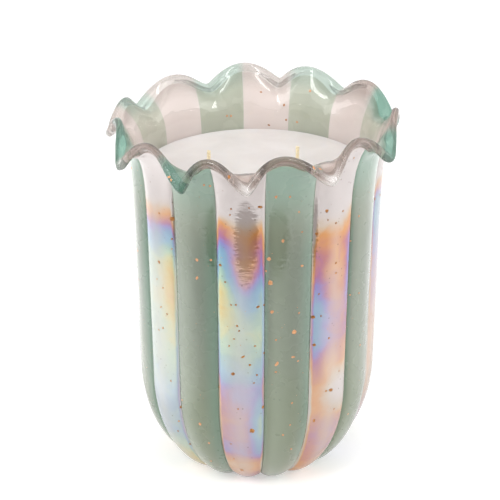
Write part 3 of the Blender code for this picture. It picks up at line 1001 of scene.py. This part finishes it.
def add_fleck(work, place, normal, size, random):
    """One torn flake of foil, lying on the glass."""
    normal = Vector(normal)
    side = normal.orthogonal().normalized()
    ahead = normal.cross(side)
    spin = random.uniform(0, 2 * pi)
    stretch = random.uniform(*FLECK_STRETCH)
    corner_count = random.randint(*FLECK_CORNERS)
    rim = []
    for i in range(corner_count):
        turn = 2 * pi * (i + random.uniform(-FLECK_CORNER_SWAY, FLECK_CORNER_SWAY)) / corner_count
        reach = size / 2 * random.uniform(*FLECK_CORNER_REACH)
        long = reach * cos(turn)
        short = reach * sin(turn) * stretch
        sideways = long * cos(spin) - short * sin(spin)
        onward = long * sin(spin) + short * cos(spin)
        rim.append(side * sideways + ahead * onward)
    base = Vector(place) - normal * FLECK_THICKNESS / 2
    lower = [work.verts.new(base + corner) for corner in rim]
    upper = [work.verts.new(base + corner * FLECK_TOP + normal * FLECK_THICKNESS) for corner in rim]
    peak = work.verts.new(base + normal * FLECK_THICKNESS * FLECK_PEAK)
    pale = work.verts.layers.float["pale"]
    for vertex in (*lower, *upper, peak):
        vertex[pale] = on_green(place)
    work.faces.new(lower[::-1])
    for i in range(corner_count):
        j = (i + 1) % corner_count
        work.faces.new((lower[i], lower[j], upper[j], upper[i]))
        work.faces.new((upper[i], upper[j], peak))


def glass_surface(pieces):
    """The glass pieces' faces, as one tree that rays can be cast at."""
    points = []
    faces = []
    for piece in pieces:
        start = len(points)
        points.extend(vertex.co.copy() for vertex in piece.data.vertices)
        faces.extend([start + i for i in face.vertices] for face in piece.data.polygons)
    return BVHTree.FromPolygons(points, faces)


def camera_axes():
    """The camera's place, and its directions to the right, up and ahead."""
    elevation = radians(CAMERA_ELEVATION)
    right = Vector((1, 0, 0))
    up = Vector((0, sin(elevation), cos(elevation)))
    ahead = Vector((0, cos(elevation), -sin(elevation)))
    return CAMERA_TARGET - CAMERA_DISTANCE * ahead, right, up, ahead


def seen_flecks(glass):
    """Place, direction and size of the flecks in the photograph, where lines of sight meet the glass."""
    surface = glass_surface(glass)
    eye, right, up, ahead = camera_axes()
    middle = PHOTO_SIZE / 2
    for pixels, places in SEEN_FLECKS.items():
        for across, down in places:
            sight = ahead * CAMERA_FOCUS_PIXELS + right * (across - middle) + up * (middle - down)
            place, normal, _, distance = surface.ray_cast(eye, sight.normalized())
            if place:
                yield place, normal, FLECK_SPREAD * pixels * distance / CAMERA_FOCUS_PIXELS


def strewn_flecks(random):
    """Place, direction and size of the flecks strewn behind, and of the specks all over."""
    for count, smallest, largest, free in (
        (STREWN_FLECKS, FLECK_SMALLEST, FLECK_LARGEST, SHOWN_ANGLE),
        (SPECKS, SPECK_SMALLEST, SPECK_LARGEST, 0),
    ):
        for _ in range(count):
            angle = random.uniform(free, 360 - free)
            station = np.array(random.triangular(*FLECK_STATIONS))
            stripe, share = divmod((angle - FIRST_STRIPE_ANGLE) % 360 / STRIPE_ANGLE, 1)
            place, _, normal = stripe_point(stripe_start(stripe), np.array(share * 2 - 1), station)
            yield place, normal, smallest + (largest - smallest) * random.random() ** FLECK_RARITY


def make_flecks(material, glass):
    """Foil flecks: those that the photograph shows, others strewn behind, and tiny specks all over."""
    random = Random(FLECK_SEED)
    work = bmesh.new()
    work.verts.layers.float.new("pale")
    for place, normal, size in chain(seen_flecks(glass), strewn_flecks(random)):
        add_fleck(work, place, normal, size, random)
    mesh = bpy.data.meshes.new("foil_flecks")
    work.to_mesh(mesh)
    work.free()
    mesh.materials.append(material)
    flecks = add_object("foil_flecks", mesh)
    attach(flecks, "root")


def dress_hidden_pieces():
    """Looks for the pieces inside the wax, which keep their solids' shapes."""
    looks = {"wick_tab": ("tin", tin_look()), "wick_sticker": ("adhesive", adhesive_look())}
    for name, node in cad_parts.items():
        for start, (slot, material) in looks.items():
            if name.startswith(start):
                node.data.materials.clear()
                node.data.materials.append(material)


def table_light(look):
    """The table's strength in the glass: brighter beside the vessel, and dimmer far from it."""
    x, y, _ = look.axes(look.place())
    left = look.fit(x, *LEFT_LIGHT_EDGES, LEFT_LIGHT, 0.0)
    left = look.maths("MULTIPLY", left, look.fit(x, *FAR_LEFT_EDGES, FAR_LEFT_SHARE, 1.0))
    right = look.fit(x, *RIGHT_LIGHT_EDGES, 0.0, RIGHT_LIGHT)
    beside = look.maths("MULTIPLY", look.maths("ADD", left, right), look.fit(y, *FRONT_EDGES))
    away = look.node("ShaderNodeVectorMath", operation="LENGTH")
    look.feed(away.inputs[0], look.place())
    fade = look.fit(away.outputs["Value"], *AWAY_EDGES, 1.0, AWAY_SHARE)
    return look.maths("MULTIPLY", look.maths("ADD", beside, TABLE_LIGHT), fade)


def make_table():
    """A pale table top that shows as white, keeps the vessel's shadow and is mirrored in the glass."""
    look = Look("pale_table")
    path = look.node("ShaderNodeLightPath")
    seen = look.maths("MAXIMUM", path.outputs["Is Camera Ray"], path.outputs["Is Transmission Ray"])
    glow = look.maths("MULTIPLY", seen, TABLE_GLOW)
    mirrored = look.maths("MULTIPLY", path.outputs["Is Glossy Ray"], table_light(look))
    look.set(
        Base_Color=grey(TABLE_GREY),
        Roughness=0.9,
        Specular_IOR_Level=0.0,
        Emission_Color=grey(1.0),
        Emission_Strength=look.maths("ADD", glow, mirrored),
    )
    corners = [(-TABLE_SIDE, -TABLE_FRONT, 0), (TABLE_SIDE, -TABLE_FRONT, 0),
               (TABLE_SIDE, TABLE_BACK, 0), (-TABLE_SIDE, TABLE_BACK, 0)]
    mesh = bpy.data.meshes.new("table")
    mesh.from_pydata(corners, [], [(0, 1, 2, 3)])
    mesh.materials.append(look.material)
    table = add_object("table", mesh)


def make_surround():
    """A white surround, weaker in the light that it gives, with a darker room below the table's front."""
    world = bpy.data.worlds.new("studio")
    world.use_nodes = True
    bpy.context.scene.world = world
    nodes = Nodes(world.node_tree)
    path = nodes.node("ShaderNodeLightPath")
    camera = path.outputs["Is Camera Ray"]
    seen = nodes.maths("MAXIMUM", camera, path.outputs["Is Glossy Ray"])
    seen = nodes.maths("MAXIMUM", seen, path.outputs["Is Transmission Ray"])
    _, _, z = nodes.axes(nodes.node("ShaderNodeTexCoord").outputs["Generated"])
    below = nodes.maths("LESS_THAN", z, 0.0)
    room = nodes.maths("MULTIPLY", below, nodes.maths("SUBTRACT", 1.0, camera))
    background = nodes.tree.nodes["Background"]
    nodes.feed(background.inputs["Color"], nodes.mix(room, grey(1.0), tint(100, 76, 60)))
    nodes.feed(background.inputs["Strength"], nodes.fit(seen, 0.0, 1.0, SURROUND_LIGHT, 1.0))


def add_lamp(name, place, width, height, power):
    """A soft area lamp, turned towards the vessel."""
    light = bpy.data.lights.new(name, "AREA")
    light.shape = "RECTANGLE"
    light.size = width
    light.size_y = height
    light.energy = power
    lamp = add_object(name, light)
    lamp.location = place
    lamp.rotation_euler = (CAMERA_TARGET - Vector(place)).to_track_quat("-Z", "Y").to_euler()


def make_camera():
    eye, _, _, _ = camera_axes()
    data = bpy.data.cameras.new("photo_camera")
    data.sensor_width = CAMERA_SENSOR
    data.lens = CAMERA_FOCUS_PIXELS * CAMERA_SENSOR / PHOTO_SIZE
    camera = add_object("photo_camera", data)
    camera.location = eye
    camera.rotation_euler = (pi / 2 - radians(CAMERA_ELEVATION), 0, 0)
    bpy.context.scene.camera = camera


def make_studio():
    make_camera()
    make_table()
    make_surround()
    for lamp in LAMPS:
        add_lamp(*lamp)


def main():
    bpy.context.scene.view_settings.view_transform = "Standard"
    make_studio()
    glass = [make_casing(clear_glass_look())]
    looks = (green_glass_look(), pearl_glass_look())
    for index in range(STRIPE_COUNT):
        glass.append(make_stripe(index, looks[index % 2]))
    make_wax(wax_look())
    cotton = cotton_look()
    for node in WICK_NAMES:
        make_wick(node, cotton)
    make_flecks(foil_look(), glass)
    dress_hidden_pieces()


main()
